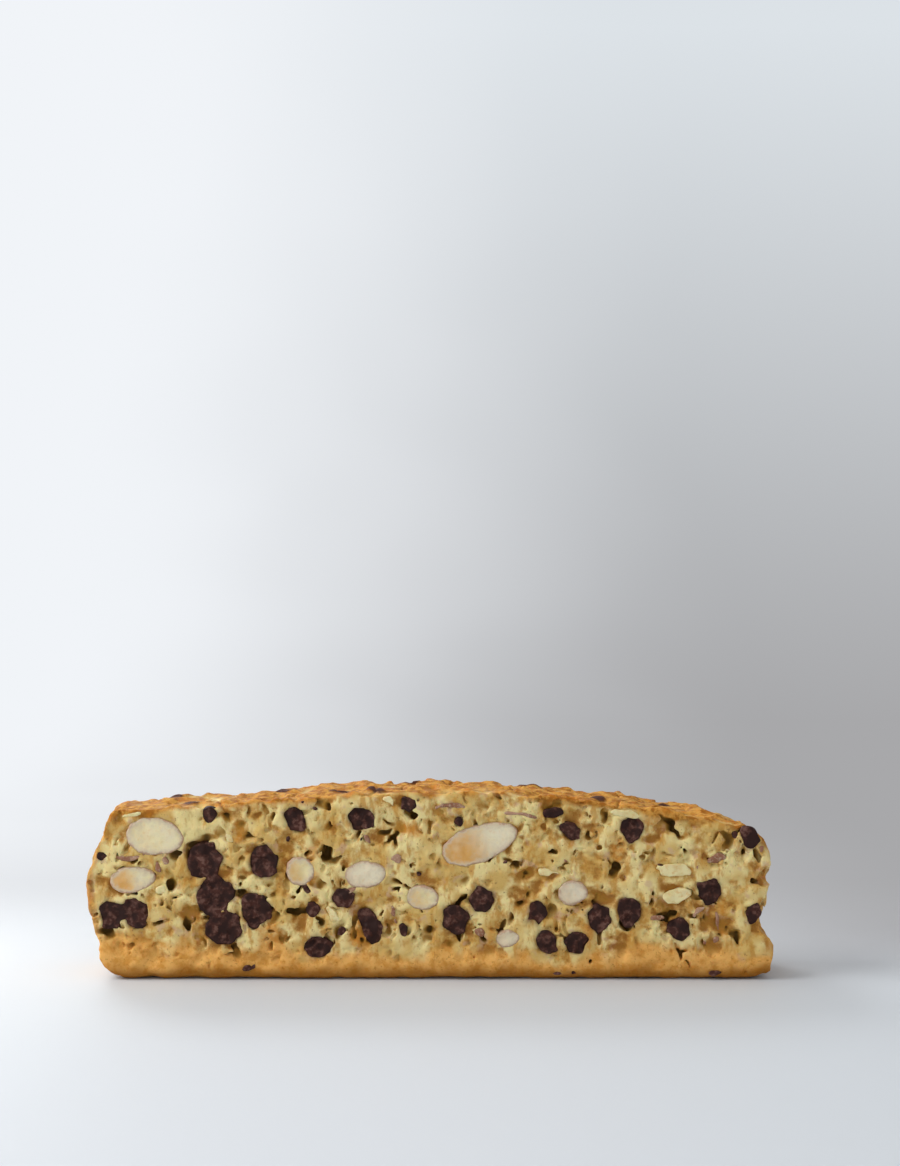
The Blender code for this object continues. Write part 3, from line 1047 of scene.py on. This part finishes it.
def markBody(mesh, grid, outline, marks, chipInsets):
    # what each place of the body is made of, and where painted shade falls, for its finish to read
    places = meshPoints(mesh)
    x, y, z = places.T

    def readMark(name):
        return sample(np.broadcast_to(marks[name], grid["size"]), grid, places)

    inside = -sample(np.broadcast_to(outline, grid["size"]), grid, places)
    belowCut = halfThick - np.abs(y)
    isTop, isBase = readMark("top"), readMark("base")
    isTorn = readMark("torn") * (1 - ease(belowCut, 1.0, 4.0))
    wander = sample(bodyNoise(grid, "wander"), grid, places)
    ripple = sample(bodyNoise(grid, "ripple"), grid, places)

    browning = 1 - ease(inside + 0.4 * wander + 0.35 * ripple - 1.2 * isTorn, 0.2, 2.6)
    browning = browning * (1 - 0.35 * np.clip(1 - isTop - isBase, 0, 1)) * (1 - 0.8 * isTorn)
    leftRise = 2.2 * (1 - ease(x, -62, -34))    # the golden base climbs towards the left end
    lowBand = 1 - ease(z - leftRise + 1.2 * wander + 0.8 * ripple, 3.5, 8.5)
    smudge = np.exp(-np.maximum(distanceToChips(grid, chipInsets, places), 0) / 0.3)
    sunk = np.minimum(belowCut, inside - 1.4 * readMark("torn"))

    setAttribute(mesh, "crust", np.maximum(browning, 0.85 * lowBand))
    setAttribute(mesh, "base", np.maximum(isBase, lowBand))
    # darker towards the very bottom, over the last few millimetres above the floor
    setAttribute(mesh, "darkerTowardsFloor", 1 - ease(z + 0.35 * ripple + 0.25 * wander, 0.7, 3.8))
    # painted shade where the top crust is cracked or pitted
    setAttribute(mesh, "crackAndPitShade", readMark("crackAndPitShade"))
    setAttribute(mesh, "toasted", spotShare(places, ripple))
    # painted shade: the knife's tearing, which sets how far each place lies below the cut
    setAttribute(mesh, "valleyShade", readMark("tear") * ease(inside, 0.3, 1.5))
    # painted shade in the holes, growing with the depth below the cut face
    setAttribute(mesh, "hollowShade", ease(sunk, 0.6, 2.2))
    setAttribute(mesh, "cocoa", np.clip(smudge * (0.45 + 0.15 * ripple), 0, 0.7))
    setAttribute(mesh, "chips", readMark("chips") * ease(inside, 3.0, 1.2))


def makeBiscotto():
    nutNames = sorted(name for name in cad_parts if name.startswith("almond"))
    chipNames = sorted(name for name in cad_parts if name.startswith("chip"))
    nuts = [makeInsets(onFace(nutNames, side), side, nutLook, 300 + side) for side in (-1, 1)]
    chips = [makeInsets(onFace(chipNames, side), side, chipLook, 500 + side) for side in (-1, 1)]
    print("nuts and chips shaped")

    grid, body, outline, marks = makeBody()
    scraps = makeScrapKinds(nuts + chips, outline, grid)
    body = sinkInsets(body, grid, nuts + chips + [inset for insets in scraps.values() for inset in insets])
    points, quads = largestPiece(*fieldSurface(body, grid))
    bodyMesh = thinnedMesh("biscuitBody", points, quads, crumbShape["triangles"])
    print("body surface", len(points), "points, thinned to", len(bodyMesh.vertices))
    markBody(bodyMesh, grid, outline, marks, chips)
    addPiece("biscuitBody", bodyMesh, crumbMaterial(), ["biscuit"])
    print("body finished")

    chocolate = chipMaterial()
    makeNuts(nutNames, nuts, nutMaterial())
    makeChips(chipNames, chips, chocolate)
    addScraps("chocolateBits", scraps["chocolateBits"], chocolate)
    addScraps("almondSlivers", scraps["almondSlivers"], sliverMaterial())
    addScraps("almondSkins", scraps["almondSkins"], skinMaterial())
    print("nuts, chips and bits set in")


makeBiscotto()


# paper, lamps and camera

studio = {
    # the paper's own colours carry painted light: lighter to the left, with a painted shadow on the floor
    # behind to the right
    "floorLeft": colour(218, 222, 225),
    "floorMiddle": colour(206, 210, 215),
    "floorRight": colour(205, 210, 215),
    "behindLeft": colour(234, 238, 241),
    "shadowBehindRight": colour(168, 168, 171),
    # painted light the paper glows with for the camera: bright to the left, painted shade low on the right
    "farLeft": colour(241, 244, 248),
    "shadowFarRightLow": colour(168, 168, 170),
    "farRightHigh": colour(220, 226, 231),
    "beyondPaper": colour(232, 235, 239),
    "paperHalfWidth": 2.5,
    "paperNear": -1.5,
    "paperHigh": 2.0,
    "bendStart": 0.28,        # where the paper starts to curve up behind
    "bendRadius": 0.35,
    "bendSteps": 16,
    "worldStrength": 0.68,
    "keyPower": 4.0,
    "keyPlace": (-0.60, -0.13, 0.50),
    "keySize": 0.5,
    "backPower": 2.3,
    "backPlace": (-0.35, 0.55, 0.55),
    "backSize": 0.4,
    "cameraAway": 0.3495,
    "cameraHeight": 0.0835,
    "cameraAside": 0.0042,
    "lens": 50,
    "sensorWidth": 36,
}


def paperMaterial():
    # plain paper near the biscotto; further off it glows for the camera with a painted light fall-off,
    # bright to the left and shaded low on the right
    material, tree, shader = newMaterial("paperSweep")
    where = put(tree, "TexCoord").outputs["Object"]
    place = put(tree, "SeparateXYZ", {"Vector": where})
    across, back, height = place.outputs
    soft = spread(tree, grainNoise(tree, where, 260.0, 2.0), 0.3, 0.7, -0.02, 0.02)
    across = plus(tree, across, soft)
    behind = spread(tree, back, -0.03, 0.05)
    # painted light and shadow: the paper is lighter to the left and darker behind on the right
    left = blend(tree, behind, studio["floorLeft"], studio["behindLeft"])
    right = blend(tree, behind, studio["floorRight"], studio["shadowBehindRight"])
    ground = blend(tree, spread(tree, across, -0.14, -0.02), left, studio["floorMiddle"])
    ground = blend(tree, spread(tree, across, 0.02, 0.10), ground, right)
    tree.links.new(ground, shader.inputs["Base Color"])
    shader.inputs["Roughness"].default_value = 0.65
    climb = put(tree, "MapRange", {"Value": height, "From Min": 0.02, "From Max": 0.42}).outputs[0]
    farRight = blend(tree, climb, studio["shadowFarRightLow"], studio["farRightHigh"])
    far = blend(tree, spread(tree, across, -0.20, 0.15), studio["farLeft"], farRight)
    # the paper glows for the camera, though it is no lamp
    glow = put(tree, "Emission", {"Color": far, "Strength": 1.0})
    seen = put(tree, "LightPath").outputs["Is Camera Ray"]
    share = times(tree, seen, spread(tree, back, -0.01, 0.11))
    choice = put(tree, "MixShader", {0: share, 1: shader.outputs[0], 2: glow.outputs[0]})
    tree.links.new(choice.outputs[0], tree.nodes["Material Output"].inputs["Surface"])
    return material


def addPaper():
    wide, steps = studio["paperHalfWidth"], studio["bendSteps"]
    start, radius = studio["bendStart"], studio["bendRadius"]
    profile = [(studio["paperNear"], 0.0), (0.0, 0.0), (start, 0.0)]
    for step in range(1, steps + 1):
        angle = math.pi / 2 * step / steps
        profile.append((start + radius * math.sin(angle), radius * (1 - math.cos(angle))))
    profile.append((start + radius, studio["paperHigh"]))
    corners = [(x, y, z) for y, z in profile for x in (-wide, wide)]
    faces = [(2 * i, 2 * i + 1, 2 * i + 3, 2 * i + 2) for i in range(len(profile) - 1)]
    mesh = bpy.data.meshes.new("paperSweep")
    mesh.from_pydata(corners, [], faces)
    mesh.shade_smooth()
    mesh.materials.append(paperMaterial())
    paper = bpy.data.objects.new("paperSweep", mesh)
    bpy.context.scene.collection.objects.link(paper)


def addLamp(name, place, size, power):
    lamp = bpy.data.lights.new(name, "AREA")
    lamp.shape = "DISK"
    lamp.size = size
    lamp.energy = power
    holder = bpy.data.objects.new(name, lamp)
    bpy.context.scene.collection.objects.link(holder)
    holder.location = place
    aim = Vector((0, 0, 0.02)) - holder.location
    holder.rotation_euler = aim.to_track_quat("-Z", "Y").to_euler()


def makeStudio():
    addPaper()
    world = bpy.data.worlds.new("softRoom")
    bpy.context.scene.world = world
    world.use_nodes = True
    tree = world.node_tree
    light = tree.nodes["Background"]
    light.inputs["Color"].default_value = (1, 1, 1, 1)
    light.inputs["Strength"].default_value = studio["worldStrength"]
    backdrop = put(tree, "Background", {"Color": studio["beyondPaper"], "Strength": 1.0})
    seen = put(tree, "LightPath").outputs["Is Camera Ray"]
    choice = put(tree, "MixShader", {0: seen, 1: light.outputs[0], 2: backdrop.outputs[0]})
    tree.links.new(choice.outputs[0], tree.nodes["World Output"].inputs["Surface"])
    addLamp("window", studio["keyPlace"], studio["keySize"], studio["keyPower"])
    addLamp("behind", studio["backPlace"], studio["backSize"], studio["backPower"])

    camera = bpy.data.objects.new("camera", bpy.data.cameras.new("camera"))
    bpy.context.scene.collection.objects.link(camera)
    camera.data.lens = studio["lens"]
    camera.data.sensor_width = studio["sensorWidth"]
    camera.location = (studio["cameraAside"], -studio["cameraAway"], studio["cameraHeight"])
    camera.rotation_euler = (math.pi / 2, 0, 0)
    bpy.context.scene.camera = camera
    bpy.context.scene.view_settings.view_transform = "Standard"


makeStudio()
print("studio ready")
